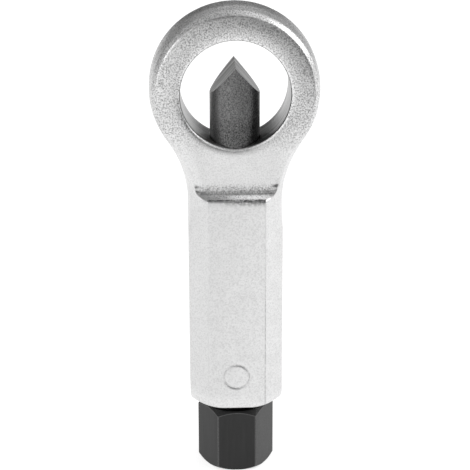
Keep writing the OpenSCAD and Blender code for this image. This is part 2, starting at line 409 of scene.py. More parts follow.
@dataclass(frozen=True)
class Look:
    """Material that a finish is built in: the place on the surface, and the nodes that finishes share."""

    material: bpy.types.Material
    place: Socket
    across: Socket
    depth: Socket
    height: Socket

    @classmethod
    def start(cls, name: str) -> "Look":
        """Starts a material, with places that run to the right, to the back and upwards.

        Args:
            name: name of the material.

        Returns:
            The look, still without a surface.
        """
        material, tree = new_material(name)
        place = add_node(tree, "ShaderNodeTexCoord").outputs["Object"]
        axes = add_node(tree, "ShaderNodeSeparateXYZ", {"Vector": place}).outputs
        return cls(material, place, axes["X"], axes["Y"], axes["Z"])

    def add(self, kind: str, inputs: dict[str | int, Any] | None = None, **settings: Any) -> bpy.types.Node:
        """Adds a node to the material, as add_node does."""
        return add_node(self.material.node_tree, kind, inputs, **settings)

    def tilt(self) -> Socket:
        """Says how far the surface looks up, from -1 to 1."""
        normal = self.add("ShaderNodeNewGeometry").outputs["Normal"]
        return self.add("ShaderNodeSeparateXYZ", {"Vector": normal}).outputs["Z"]

    def math(self, operation: str, *values: Socket | float) -> Socket:
        """Works out a level from others, by Blender's name of the operation."""
        return self.add("ShaderNodeMath", dict(enumerate(values)), operation=operation).outputs["Value"]

    def times(self, *levels: Socket | float) -> Socket:
        """Multiplies levels."""
        return reduce(lambda first, second: self.math("MULTIPLY", first, second), levels)

    def plus(self, *levels: Socket) -> Socket:
        """Adds levels."""
        return reduce(lambda first, second: self.math("ADD", first, second), levels)

    def most(self, *levels: Socket) -> Socket:
        """Takes the highest of some levels."""
        return reduce(lambda first, second: self.math("MAXIMUM", first, second), levels)

    def apart(self, value: Socket, middle_mm: float = 0.0) -> Socket:
        """Gives the distance of a length from a middle."""
        return self.math("ABSOLUTE", self.math("SUBTRACT", value, middle_mm * MM))

    def below(self, value: Socket, limit_mm: float) -> Socket:
        """Gives 1 where a length is below a limit, and 0 elsewhere."""
        return self.math("LESS_THAN", value, limit_mm * MM)

    def ramp(self, value: Socket, ramp: Ramp, low: float = 0.0, high: Socket | float = 1.0,
             course: str = "LINEAR") -> Socket:
        """Lets a level go from one value to another.

        Args:
            value: what decides.
            ramp: where the change starts and ends.
            low: the level before it.
            high: the level behind it.
            course: Blender's name of the way between.

        Returns:
            The level.
        """
        inputs = {
            "Value": value, "From Min": ramp.start, "From Max": ramp.end, "To Min": low, "To Max": high}
        return self.add("ShaderNodeMapRange", inputs, interpolation_type=course).outputs["Result"]

    def rise(self, value: Socket, span: Span, low: float = 0.0, high: float = 1.0) -> Socket:
        """Lets a level go smoothly from one value to another along a stretch."""
        return self.ramp(value, Ramp(span.start * MM, span.end * MM), low, high, "SMOOTHSTEP")

    def near(self, value: Socket, band: Band, share: float = 1.0) -> Socket:
        """Gives a share in the middle of a band, which falls smoothly to 0 at its ends."""
        return self.rise(self.apart(value, band.middle), Span(0.0, band.reach), share, 0.0)

    def reach(self, plane: tuple[float, float, float], height_mm: float = 0.0) -> Socket:
        """Gives the distance of the place from the tool axis at a height, seen in one plane.

        Args:
            plane: 1 for each axis that counts, and 0 for the other.
            height_mm: the height.

        Returns:
            The distance.
        """
        flat = self.add("ShaderNodeVectorMath", {0: self.place, 1: plane}, operation="MULTIPLY")
        inputs = {0: flat.outputs["Vector"], 1: (0.0, 0.0, height_mm * MM)}
        return self.add("ShaderNodeVectorMath", inputs, operation="DISTANCE").outputs["Value"]

    def circle(self, circle: Circle) -> Socket:
        """Gives the share of a round line on the front."""
        band = Band(circle.radius, circle.half_width)
        return self.near(self.reach((1.0, 0.0, 1.0), circle.height), band, circle.share)

    def noise(self, size_mm: float, detail: float, roughness: float = 0.5,
              scale: tuple[float, float, float] | None = None) -> Socket:
        """Makes a random pattern.

        Args:
            size_mm: width of one feature.
            detail: how many finer patterns lie on it.
            roughness: how strong these are.
            scale: small along the axes on which the pattern is drawn out.

        Returns:
            The level of the pattern.
        """
        place = self.place
        if scale is not None:
            place = self.add("ShaderNodeMapping", {"Vector": place, "Scale": scale}).outputs["Vector"]
        inputs = {"Vector": place, "Scale": 1 / (size_mm * MM), "Detail": detail, "Roughness": roughness}
        return self.add("ShaderNodeTexNoise", inputs).outputs["Fac"]

    def blend(self, share: Socket, first: Socket | str, second: Socket | str) -> Socket:
        """Blends two colours.

        Args:
            share: share of the second.
            first: a colour, or its hex code.
            second: a colour, or its hex code.

        Returns:
            The colour between them.
        """
        low, high = (linear(colour) if isinstance(colour, str) else colour for colour in (first, second))
        inputs = {"Factor": share, MIX_FIRST: low, MIX_SECOND: high}
        return self.add("ShaderNodeMix", inputs, data_type="RGBA").outputs[MIX_RESULT]

    def bump(self, level: Socket, depth_mm: float, strength: Socket | float = 1.0,
             normal: Socket | None = None) -> Socket:
        """Lets the surface look uneven.

        Args:
            level: level of the ground.
            depth_mm: how deep it is.
            strength: share of the effect.
            normal: a coarser unevenness that this one lies on.

        Returns:
            The normal.
        """
        inputs = {"Strength": strength, "Distance": depth_mm * MM, "Height": level}
        if normal is not None:
            inputs["Normal"] = normal
        return self.add("ShaderNodeBump", inputs).outputs["Normal"]

    def metal(self, colour: Socket, roughness: Socket | float, normal: Socket | None = None,
              metallic: Socket | float = 1.0) -> bpy.types.Material:
        """Gives the material its surface.

        Args:
            colour: colour of the metal.
            roughness: how dull it is.
            normal: its unevenness.
            metallic: share of it that reflects as bare metal.

        Returns:
            The material.
        """
        inputs = {"Base Color": colour, "Metallic": metallic, "Roughness": roughness}
        if normal is not None:
            inputs["Normal"] = normal
        shader = self.add("ShaderNodeBsdfPrincipled", inputs)
        self.add("ShaderNodeOutputMaterial", {"Surface": shader.outputs["BSDF"]})
        return self.material


# Finishes


class Finish(ABC):
    """A surface finish that gives one material."""

    @abstractmethod
    def material(self) -> bpy.types.Material:
        """Makes the material."""


@dataclass(frozen=True)
class BlastedPlating(Finish):
    """Drop-forged steel, shot-blasted and plated with a thin satin layer.

    The eye sees a pale silver grey with no clear reflections, a sparkling grain with darker
    pits that is coarser on the ring and the shoulder, and faint clouds in the plating.
    """

    pale: str = "#E8E8E8"
    dull: str = "#D6D6D6"
    # Grey of the pits, which the painted shade takes too
    pit_and_shade_grey: str = "#767676"
    # White of the painted highlight
    painted_highlight: str = WHITE
    roughness: float = 0.38
    rough_spread: float = 0.14
    grain_mm: float = 0.36
    grain_depth_mm: float = 0.060
    grain_detail: float = 2.0
    cloud_mm: float = 5.0
    cloud_detail: float = 5.0
    # How strong the finer patterns on grain and clouds are
    fineness: float = 0.6
    dent_mm: float = 1.8
    dent_depth_mm: float = 0.04
    # Levels of the grain that show as dark pits, and that are high enough to take the painted highlight
    pits: Ramp = Ramp(0.42, 0.72)
    heights: Ramp = Ramp(0.70, 0.50)
    # Share of the ring's grain that the smoother handle shows, and where the grain changes
    handle_grain: float = 0.26
    ring_grain: Span = Span(84.0, 94.0)
    shoulder_grain: Band = Band(76.4, 2.8)
    shoulder_side: Span = Span(8.4, 10.4)
    # Painted shade on the handle, which darkens its plating, more so on the left
    handle_shade_foot: Span = Span(20.0, 23.0)
    handle_shade_top: Span = Span(73.0, 80.0)
    handle_shade_side: Span = Span(-8.0, 8.0)
    handle_shade_left: float = 0.55
    handle_shade_right: float = 0.15
    # Painted highlight on the lower half of the shoulder, which looks up, stronger on the right
    highlight_height: Band = Band(75.3, 2.4)
    highlight_tilt: Ramp = Ramp(0.74, 0.90)
    shoulder_right_side: Span = Span(-6.0, 2.5)
    highlight_left: float = 0.2
    highlight_scatter: float = 0.75
    # Painted highlight along the front edge of the hole, weaker at its lower half
    hole_edge: Circle = Circle(height=100.6, radius=13.85, half_width=0.45, share=0.60)
    hole_height: Span = Span(94.0, 109.0)
    hole_low: float = 0.20
    # Spots that all painted shade is broken up into
    shade_spot_mm: float = 0.7
    shade_spot_detail: float = 3.0
    spots: Ramp = Ramp(0.25, 0.58)
    # Painted shade along the upper edge of the ring's front face
    face_front_mm: float = -6.0
    face_edge: Circle = Circle(height=100.6, radius=19.45, half_width=0.50, share=0.80)
    face_height: Span = Span(110.5, 116.5)
    # Painted shade along the upright edges of the front flat, fainter on the left and high up
    flat_front_mm: float = -9.1
    flat_edge: Band = Band(7.2, 0.26)
    flat_side: Span = Span(-7.2, 7.2)
    flat_height: Span = Span(44.0, 62.0)
    flat_share: float = 0.60
    flat_left: float = 0.35
    flat_high: float = 0.30
    # Painted shade along the shoulder's ledge, and a painted shadow under it, which is fainter on the left
    ledge: Band = Band(74.75, 0.45)
    ledge_shadow: Span = Span(72.5, 74.4)
    ledge_shadow_share: float = 0.95
    ledge_shadow_left: float = 0.25
    # Painted shade in both ends of the shoulder's hollow
    corner_height: Band = Band(77.0, 3.0)
    corner_side: Span = Span(5.0, 9.0)
    corner_tilt: Ramp = Ramp(0.08, 0.25)
    corner_share: float = 1.10
    # Painted shade in the groove of the stamped circle
    mark: Circle = Circle(height=27.3, radius=3.2, half_width=0.38, share=0.5)

    def coarseness(self, look: Look) -> Socket:
        """Works out how coarse the grain is: coarse on the ring and in the hollows of the shoulder.

        Args:
            look: the look that gets the nodes.

        Returns:
            The share of the full grain.
        """
        ring = look.rise(look.height, self.ring_grain, self.handle_grain)
        inside = look.rise(look.apart(look.across), self.shoulder_side, 1.0, 0.0)
        return look.most(ring, look.times(look.near(look.height, self.shoulder_grain), inside))

    def handle_shade(self, look: Look) -> Socket:
        """Finds the painted shade on the handle, which is stronger on the left.

        Args:
            look: the look that gets the nodes.

        Returns:
            The share of the dull grey, as painted shade, that comes on top of the clouds.
        """
        above = look.rise(look.height, self.handle_shade_foot)
        under = look.rise(look.height, self.handle_shade_top, 1.0, 0.0)
        share = look.rise(look.across, self.handle_shade_side, self.handle_shade_left, self.handle_shade_right)
        return look.times(share, above, under)

    def highlight_share(self, look: Look) -> Socket:
        """Finds where highlight is painted: the lower half of the shoulder and the front edge of the hole.

        Args:
            look: the look that gets the nodes.

        Returns:
            The share of the painted highlight.
        """
        facing = look.ramp(look.tilt(), self.highlight_tilt)
        side = look.rise(look.across, self.shoulder_right_side, self.highlight_left)
        shoulder = look.times(facing, look.near(look.height, self.highlight_height), side)
        upper = look.rise(look.height, self.hole_height, self.hole_low)
        front = look.below(look.depth, self.face_front_mm)
        return look.most(shoulder, look.times(look.circle(self.hole_edge), upper, front))

    def flat_painted_shade(self, look: Look) -> Socket:
        """Finds the painted shade along the upright edges of the handle's front flat.

        Args:
            look: the look that gets the nodes.

        Returns:
            The share of painted shade.
        """
        line = look.near(look.apart(look.across), self.flat_edge, self.flat_share)
        right = look.rise(look.across, self.flat_side, self.flat_left)
        return look.times(line, right, look.rise(look.height, self.flat_height, 1.0, self.flat_high))

    def ledge_painted_shade(self, look: Look) -> Socket:
        """Finds the painted shade along the shoulder's ledge and the painted shadow that fades out below
        it.

        Args:
            look: the look that gets the nodes.

        Returns:
            The share of painted shade.
        """
        right = look.rise(look.across, self.shoulder_right_side, self.ledge_shadow_left)
        ledge_shadow = look.times(look.rise(look.height, self.ledge_shadow, 0.0, self.ledge_shadow_share), right)
        inside = look.below(look.apart(look.across), self.flat_edge.middle)
        return look.times(look.most(look.near(look.height, self.ledge), ledge_shadow), inside)

    def corner_painted_shade(self, look: Look) -> Socket:
        """Finds the painted shade in both ends of the shoulder's hollow, which looks up.

        Args:
            look: the look that gets the nodes.

        Returns:
            The share of painted shade.
        """
        ends = look.rise(look.apart(look.across), self.corner_side, 0.0, self.corner_share)
        facing = look.ramp(look.tilt(), self.corner_tilt)
        return look.times(ends, look.near(look.height, self.corner_height), facing)

    def painted_shade(self, look: Look) -> Socket:
        """Finds the painted shade along the edges of ring and handle, in the shoulder and in the stamped
        circle.

        Args:
            look: the look that gets the nodes.

        Returns:
            The share of painted shade.
        """
        edges = look.most(self.flat_painted_shade(look), self.ledge_painted_shade(look), look.circle(self.mark))
        flat = look.times(edges, look.below(look.depth, self.flat_front_mm))
        high = look.rise(look.height, self.face_height)
        face = look.times(look.circle(self.face_edge), high, look.below(look.depth, self.face_front_mm))
        lines = look.most(flat, self.corner_painted_shade(look), face)
        return look.times(lines, look.ramp(look.noise(self.shade_spot_mm, self.shade_spot_detail), self.spots))

    def material(self) -> bpy.types.Material:
        """Makes the material: plating with painted shade on the handle, then pits and painted shade, then
        painted highlights, over grain and dents.

        Returns:
            The material.
        """
        look = Look.start("shot_blasted_plated_forging")
        coarse = self.coarseness(look)
        painted_shade = self.painted_shade(look)
        clouds = look.noise(self.cloud_mm, self.cloud_detail, self.fineness)
        grain = look.noise(self.grain_mm, self.grain_detail, self.fineness)
        dents = look.noise(self.dent_mm, self.grain_detail)
        # Clouds of the plating, with the painted shade on the handle added to them
        plating = look.blend(look.plus(clouds, self.handle_shade(look)), self.pale, self.dull)
        pits = look.ramp(grain, self.pits, high=coarse)
        # Pits and painted shade take the dark grey
        blasted = look.blend(look.most(pits, painted_shade), plating, self.pit_and_shade_grey)
        unshaded = look.ramp(painted_shade, Ramp(), 1.0, 0.0)
        # Painted highlight on the grain's tops where no painted shade lies, white and partly not metallic
        painted_highlight = look.times(self.highlight_share(look), look.ramp(grain, self.heights), unshaded)
        half_spread = self.rough_spread / 2
        return look.metal(
            colour=look.blend(painted_highlight, blasted, self.painted_highlight),
            roughness=look.ramp(grain, Ramp(), self.roughness - half_spread, self.roughness + half_spread),
            normal=look.bump(grain, -self.grain_depth_mm, coarse, look.bump(dents, self.dent_depth_mm)),
            metallic=look.ramp(painted_highlight, Ramp(), 1.0, 1.0 - self.highlight_scatter))


@dataclass(frozen=True)
class HardenedSteel(Finish):
    """Tool steel, hardened and left dark from the oil bath.

    The eye sees a dull dark grey with a fine grain and slightly lighter patches.
    """

    dark: str = "#303030"
    patch: str = "#8C8C8C"
    roughness: float = 0.46
    grain_mm: float = 0.40
    grain_depth_mm: float = 0.06
    grain_detail: float = 2.0
    patch_mm: float = 0.34
    patch_detail: float = 4.0
    patches: Ramp = Ramp(0.22, 0.74)
    # Painted light on the left, and painted shade on the right and low down
    painted_light_left: float = 0.40
    painted_shade_right: float = -0.30
    painted_shade_low: float = -0.20
    left_side: Span = Span(-5.6, -2.5)
    right_side: Span = Span(2.5, 5.6)
    low_end: Span = Span(90.0, 97.0)

    def painted_light_and_shade(self, look: Look) -> Socket:
        """Finds the painted light on the left and the painted shade on the right and low down.

        Args:
            look: the look that gets the nodes.

        Returns:
            The change of the share of light patches.
        """
        left = look.rise(look.across, self.left_side, self.painted_light_left, 0.0)
        right = look.rise(look.across, self.right_side, 0.0, self.painted_shade_right)
        return look.plus(left, right, look.rise(look.height, self.low_end, self.painted_shade_low, 0.0))

    def material(self) -> bpy.types.Material:
        """Makes the material: light patches, with painted light and shade, over a fine grain.

        Returns:
            The material.
        """
        look = Look.start("hardened_tool_steel")
        patches = look.ramp(look.noise(self.patch_mm, self.patch_detail), self.patches)
        grain = look.noise(self.grain_mm, self.grain_detail)
        # The colour takes painted light on the left and painted shade on the right and low down
        return look.metal(
            colour=look.blend(look.plus(patches, self.painted_light_and_shade(look)), self.dark, self.patch),
            roughness=self.roughness,
            normal=look.bump(grain, self.grain_depth_mm))


@dataclass(frozen=True)
class LinedSteel(Finish):
    """Steel cut on a machine: ground faces of the chisel and the bored wall of the ring.

    The eye sees clean steel with straight lines along the path of the wheel or the tool.
    """

    name: str
    bright: str
    line: str
    roughness: float
    line_mm: float
    line_stretch: float = 0.06
    line_depth_mm: float = 0.030
    line_detail: float = 3.0
    lines: Ramp = Ramp(0.34, 0.66)

    def material(self) -> bpy.types.Material:
        """Makes the material: lines that run across Y, so their pattern is drawn out in X and Z.

        Returns:
            The material.
        """
        look = Look.start(self.name)
        scale = (self.line_stretch, 1.0, self.line_stretch)
        lines = look.noise(self.line_mm, self.line_detail, scale=scale)
        return look.metal(
            colour=look.blend(look.ramp(lines, self.lines), self.bright, self.line),
            roughness=self.roughness,
            normal=look.bump(lines, self.line_depth_mm))


@dataclass(frozen=True)
class BlackOxide(Finish):
    """Turned steel, blackened in a hot salt bath.

    The eye sees a satin near-black with soft wide reflections and faint streaks along the bar,
    bare steel where wrenches have rubbed the corners, a paler line under the edge of the turned top,
    and painted light on the face to the right.
    """

    black: str = "#323232"
    grey: str = "#3D3D3D"
    worn_and_painted_light_grey: str = "#909090"
    worn_and_painted_light_share: float = 0.5
    # Rubbed corners by their distance from the axis, and the face on the right, which takes painted light
    corners: Span = Span(9.60, 9.80)
    lit_face_side: Span = Span(4.7, 5.2)
    painted_light_share: float = 0.40
    # Height, radius and slope of the turned top, and the paler line on the flats under its edge
    top_mm: float = 16.65
    top_r_mm: float = 8.2
    top_slope: float = 38.0
    top_line: Band = Band(0.14, 0.14)
    roughness: float = 0.40
    streak_mm: float = 0.9
    streak_detail: float = 4.0
    streak_stretch: float = 0.08
    grain_mm: float = 0.4
    grain_detail: float = 2.0
    grain_depth_mm: float = 0.006

    def wear_and_painted_light(self, look: Look) -> Socket:
        """Finds the rubbed corners of the hexagon, the paler line under the edge of its turned top, and the
        painted light on the face to the right.

        Args:
            look: the look that gets the nodes.

        Returns:
            The share of the paler grey.
        """
        radius = look.reach((1.0, 1.0, 0.0))
        slope = math.tan(math.radians(self.top_slope))
        cone = look.math("MULTIPLY_ADD", radius, -slope, (self.top_mm + self.top_r_mm * slope) * MM)
        edge = look.near(look.math("SUBTRACT", cone, look.height), self.top_line)
        face = look.rise(look.across, self.lit_face_side, 0.0, self.painted_light_share)
        return look.most(look.rise(radius, self.corners), edge, face)

    def material(self) -> bpy.types.Material:
        """Makes the material: streaks along the bar, then the wear and the painted light, over a fine
        grain.

        Returns:
            The material.
        """
        look = Look.start("black_oxide_steel")
        streaks = look.noise(self.streak_mm, self.streak_detail, scale=(1.0, 1.0, self.streak_stretch))
        grain = look.noise(self.grain_mm, self.grain_detail)
        # Paler grey on rubbed corners and under the turned top's edge, and painted light on the face to the
        # right
        pale_share = look.times(self.wear_and_painted_light(look), grain, self.worn_and_painted_light_share)
        return look.metal(
            colour=look.blend(pale_share, look.blend(streaks, self.black, self.grey), self.worn_and_painted_light_grey),
            roughness=self.roughness,
            normal=look.bump(grain, self.grain_depth_mm))


@dataclass(frozen=True)
class BareSteel(Finish):
    """Small bought-in steel pieces: a bearing ball, a drawn wire and a ground dowel.

    The eye sees clean grey steel, brighter and clearer the finer it was finished.
    """

    name: str
    bright: str
    shade: str
    roughness: float
    patch_mm: float = 0.8
    patch_detail: float = 4.0

    def material(self) -> bpy.types.Material:
        """Makes the material: faint patches of two greys.

        Returns:
            The material.
        """
        look = Look.start(self.name)
        patches = look.noise(self.patch_mm, self.patch_detail)
        return look.metal(look.blend(patches, self.bright, self.shade), self.roughness)


# Sub-assemblies


@dataclass
class ForgedBody:
    """Ring, neck and handle in one forging, with the soft edges that forging and blasting leave."""

    node: str = "frame"
    voxel: float = 0.24 * MM
    kept_share: float = 0.385
    # Passes over the whole surface, and passes that only the softest zones take in full
    even_passes: int = 5
    soft_passes: int = 200
    pass_strength: float = 0.5
    ring_z: float = 100.6 * MM
    hole_r: float = 13.5 * MM
    face_y: float = 6.9 * MM
    mark_z: float = 27.3 * MM
    # How far outside the hole and from the faces the bored wall still counts
    wall_reach: float = 0.15 * MM
    wall_edge: float = 0.30 * MM
    # Stretches outwards from the ring's axis
    rim_end: Span = Span(14.2, 15.4)
    face_end: Span = Span(18.2, 18.9)
    band_start: Span = Span(19.8, 20.6)
    # Stretches up the tool, and sideways in the hollow of the shoulder
    end_top: Span = Span(20.0, 22.5)
    hollow_start: Span = Span(75.0, 75.6)
    hollow_end: Span = Span(79.9, 82.4)
    hollow_side: Span = Span(8.0, 10.0)
    ring_start: Span = Span(85.0, 90.0)
    mark_end: Span = Span(4.3, 5.3)
    ledge_low: Span = Span(73.0, 74.0)
    # Round hollow of the solid's shoulder, and how far off it a point still counts
    hollow_y: float = 11.105 * MM
    hollow_z: float = 79.10 * MM
    hollow_r: float = 4.574 * MM
    hollow_top: float = 23.2
    hollow_foot: float = 74.7
    hollow_reach: float = 0.16 * MM
    # Fillet that forging leaves in it: a slope down to its start, then a quarter of an ellipse to the ledge
    slope_y: float = 6.90 * MM
    slope_z: float = 77.30 * MM
    slope_share: float = 0.176
    fillet_y: float = 6.97 * MM
    fillet_z: float = 76.50 * MM
    ledge_y: float = 9.90 * MM
    ledge_z: float = 74.69 * MM
    # Softness of the zones, from crisp at 0 to fully rounded at 1
    rim_softness: float = 0.006
    edge_softness: float = 0.04
    band_softness: float = 0.15
    bar_softness: float = 0.03
    hollow_softness: float = 0.02
    ledge_softness: float = 0.08
    end_softness: float = 0.34
    # Pillow of the ring's faces: where it is highest, its drops and where they end
    pillow_r: float = 15.6 * MM
    pillow_in: float = 0.30 * MM
    pillow_out: float = 0.16 * MM
    pillow_edge_r: float = 19.55 * MM
    pillow_fade: Span = Span(19.55, 21.0)
    pillow_depth: Span = Span(3.5, 5.8)
    pillow_low: Span = Span(87.0, 93.0)

    def softness(self, place: Vector) -> float:
        """Says how far the edges at a place are rounded.

        Args:
            place: a point of the surface.

        Returns:
            The share of the soft passes that the point takes.
        """
        across = math.hypot(place.x, place.z - self.ring_z)
        ring = mix(self.rim_softness, 1.0, self.rim_end.share(across))
        ring = mix(ring, self.edge_softness, self.face_end.share(across))
        ring = mix(ring, self.band_softness, self.band_start.share(across))
        bar = mix(self.end_softness, self.bar_softness, self.end_top.share(place.z))
        if place.y < -self.face_y:
            bar *= self.mark_end.share(math.hypot(place.x, place.z - self.mark_z))
        hollow = self.hollow_start.share(place.z) * (1 - self.hollow_end.share(place.z))
        front = 1 - self.hollow_side.share(abs(place.x))
        bar = mix(bar, self.hollow_softness, hollow * front)
        ledge = self.ledge_low.share(place.z) * (1 - self.hollow_start.share(place.z))
        bar = mix(bar, self.ledge_softness, ledge * front)
        return mix(bar, ring, self.ring_start.share(place.z))

    def fillet(self, place: Vector) -> Vector:
        """Draws a point of the shoulder's round hollow in to the tighter fillet over the ledge.

        Args:
            place: a point of the surface.

        Returns:
            Where the point goes.
        """
        inwards = self.hollow_y - abs(place.y)
        below = self.hollow_z - place.z
        angle = math.degrees(math.atan2(below, inwards))
        along = (angle - self.hollow_top) / (self.hollow_foot - self.hollow_top)
        if not 0 < along < 1 or abs(math.hypot(inwards, below) - self.hollow_r) > self.hollow_reach:
            return place
        if along < self.slope_share:
            share = along / self.slope_share
            depth, height = mix(self.slope_y, self.fillet_y, share), mix(self.slope_z, self.fillet_z, share)
        else:
            turn = QUARTER_TURN * (along - self.slope_share) / (1 - self.slope_share)
            depth = mix(self.fillet_y, self.ledge_y, 1 - math.cos(turn))
            height = mix(self.fillet_z, self.ledge_z, math.sin(turn))
        return Vector((place.x, math.copysign(depth, place.y), height))

    def pillow(self, place: Vector) -> float:
        """Says how far the ring's face has dropped at a place, towards its hole and its outer edge.

        Args:
            place: a point of the surface.

        Returns:
            The drop towards the middle of the ring.
        """
        across = math.hypot(place.x, place.z - self.ring_z)
        if across < self.pillow_r:
            way = (self.pillow_r - max(across, self.hole_r)) / (self.pillow_r - self.hole_r)
            drop = self.pillow_in * way ** 2
        else:
            way = (min(across, self.pillow_edge_r) - self.pillow_r) / (self.pillow_edge_r - self.pillow_r)
            drop = self.pillow_out * way ** 2 * self.pillow_low.share(place.z)
        return drop * (1 - self.pillow_fade.share(across)) * self.pillow_depth.share(abs(place.y))

    def build(self) -> bpy.types.Object:
        """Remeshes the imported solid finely, softens its edges zone by zone and pillows the ring.

        Returns:
            The finished piece.
        """
        piece = node_copy(self.node, "forged_body")
        apply_modifier(piece, "REMESH", mode="VOXEL", voxel_size=self.voxel)
        apply_modifier(piece, "SMOOTH", factor=self.pass_strength, iterations=self.even_passes)
        for vertex in piece.data.vertices:
            vertex.co = self.fillet(vertex.co)
        group = piece.vertex_groups.new(name="softness")
        for vertex in piece.data.vertices:
            group.add([vertex.index], self.softness(vertex.co), "REPLACE")
        apply_modifier(piece, "SMOOTH", factor=self.pass_strength, iterations=self.soft_passes,
                       vertex_group=group.name)
        for vertex in piece.data.vertices:
            vertex.co.y -= math.copysign(self.pillow(vertex.co), vertex.co.y)
        apply_modifier(piece, "DECIMATE", ratio=self.kept_share)
        piece.vertex_groups.clear()
        select_only(piece)
        bpy.ops.object.shade_smooth()
        return piece

    def dress(self, piece: bpy.types.Object, plating: Finish, wall: Finish) -> None:
        """Gives the outside and the ring's bored wall their finishes, and the piece its place in the part.

        Args:
            piece: the finished piece.
            plating: finish of the outside.
            wall: finish of the ring's bored wall.
        """
        piece.data.materials.append(plating.material())
        piece.data.materials.append(wall.material())
        for face in piece.data.polygons:
            across = math.hypot(face.center.x, face.center.z - self.ring_z)
            inside = across < self.hole_r + self.wall_reach
            face.material_index = int(inside and abs(face.center.y) < self.face_y - self.wall_edge)
        settle(piece, Body.FORGING, self.node)


@dataclass
class Chisel:
    """Hardened chisel with two ground faces at its edge, a socket in its base and a keyway behind."""

    node: str = "chisel"
    chisel_r: float = 6.2 * MM
    edge_angle: float = 80.0
    base_chamfer: float = 0.6 * MM
    socket_r: float = 3.88 * MM
    socket_depth: float = 5.7 * MM
    groove_height: float = 1.2 * MM
    groove_r: float = 0.56 * MM
    ball_seat_r: float = 2.54 * MM
    ball_seat_depth: float = 2.04 * MM
    keyway_w: float = 3.2 * MM
    keyway_depth: float = 1.8 * MM
    keyway_low: float = 8.94 * MM
    keyway_length: float = 26.0 * MM
    keyway_steps: int = 32
    edge_round: float = 0.12 * MM
    edge_steps: int = 3
    sharp_angle: float = 25.0
    # Heights below the edge at which the shank is divided, so that its shading stays even
    divisions: tuple[float, ...] = (8.2 * MM, 8.8 * MM, 10.0 * MM, 14.0 * MM, 22.0 * MM)
    # Faces that look up at least this much are the ground ones
    ground_rise: float = 0.35
    steps: int = 128

    def blank(self, base: float, tip: float) -> bpy.types.Object:
        """Turns the round blank with its socket, groove and ball seat.

        Args:
            base: height of the lower end.
            tip: height of the cutting edge.

        Returns:
            The blank as a closed mesh.
        """
        floor = base + self.socket_depth
        return turned("chisel_blade", [
            (0.0, floor + self.ball_seat_depth),
            (self.ball_seat_r, floor + self.ball_seat_depth),
            (self.ball_seat_r, floor),
            (self.socket_r, floor),
            *groove(self.socket_r, base + self.groove_height, self.groove_r, 1),
            (self.socket_r, base),
            (self.chisel_r - self.base_chamfer, base),
            (self.chisel_r, base + self.base_chamfer),
            (self.chisel_r, tip),
            (0.0, tip),
        ], self.steps)

    def grind(self, piece: bpy.types.Object, tip: float) -> None:
        """Grinds the two faces that meet in the cutting edge.

        Args:
            piece: the blank.
            tip: height of the cutting edge.
        """
        lean = math.radians(self.edge_angle / 2)
        for side in (-1, 1):
            facing = (side * math.cos(lean), 0.0, math.sin(lean))
            with editing(piece):
                bpy.ops.mesh.bisect(
                    plane_co=(0.0, 0.0, tip), plane_no=facing, use_fill=True, clear_outer=True)
        weld(piece)

    def divide(self, piece: bpy.types.Object, tip: float) -> None:
        """Divides the shank with rings of edges.

        Args:
            piece: the ground blank.
            tip: height of the cutting edge.
        """
        for below in self.divisions:
            with editing(piece):
                bpy.ops.mesh.bisect(plane_co=(0.0, 0.0, tip - below), plane_no=(0.0, 0.0, 1.0))

    def keyway(self, base: float) -> bpy.types.Object:
        """Models the cutter of the keyway, with its two round ends.

        Args:
            base: height of the chisel's lower end.

        Returns:
            The cutter as a closed mesh.
        """
        low = base + self.keyway_low + self.keyway_w / 2
        deep = self.chisel_r - self.keyway_depth
        middle = (0.0, deep + self.chisel_r / 2, low)
        cutter = cylinder("keyway_cutter", self.keyway_w / 2, self.chisel_r, middle,
                          (QUARTER_TURN, 0.0, 0.0), self.keyway_steps)
        for vertex in cutter.data.vertices:
            if vertex.co.z > low:
                vertex.co.z += self.keyway_length - self.keyway_w
        return cutter

    def build(self) -> bpy.types.Object:
        """Turns the blank, grinds its edge, mills the keyway and breaks the sharp edges.

        Returns:
            The finished piece.
        """
        low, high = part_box(self.node)
        piece = self.blank(low.z, high.z)
        self.grind(piece, high.z)
        combine(piece, self.keyway(low.z), Cut.REMOVE)
        self.divide(piece, high.z)
        break_edges(piece, self.edge_round, self.edge_steps, self.sharp_angle)
        smooth_below(piece, self.sharp_angle)
        apply_modifier(piece, "WEIGHTED_NORMAL", keep_sharp=True)
        return piece

    def dress(self, piece: bpy.types.Object, dark: Finish, ground: Finish) -> None:
        """Gives flanks and ground faces their finishes, and the piece its place in the part.

        Args:
            piece: the finished piece.
            dark: finish of the flanks.
            ground: finish of the two ground faces.
        """
        piece.data.materials.append(dark.material())
        piece.data.materials.append(ground.material())
        top = max(v.co.z for v in piece.data.vertices)
        for face in piece.data.polygons:
            high = face.center.z > top - 2 * self.chisel_r
            face.material_index = int(high and face.normal.z > self.ground_rise)
        settle(piece, Body.CHISEL, self.node)


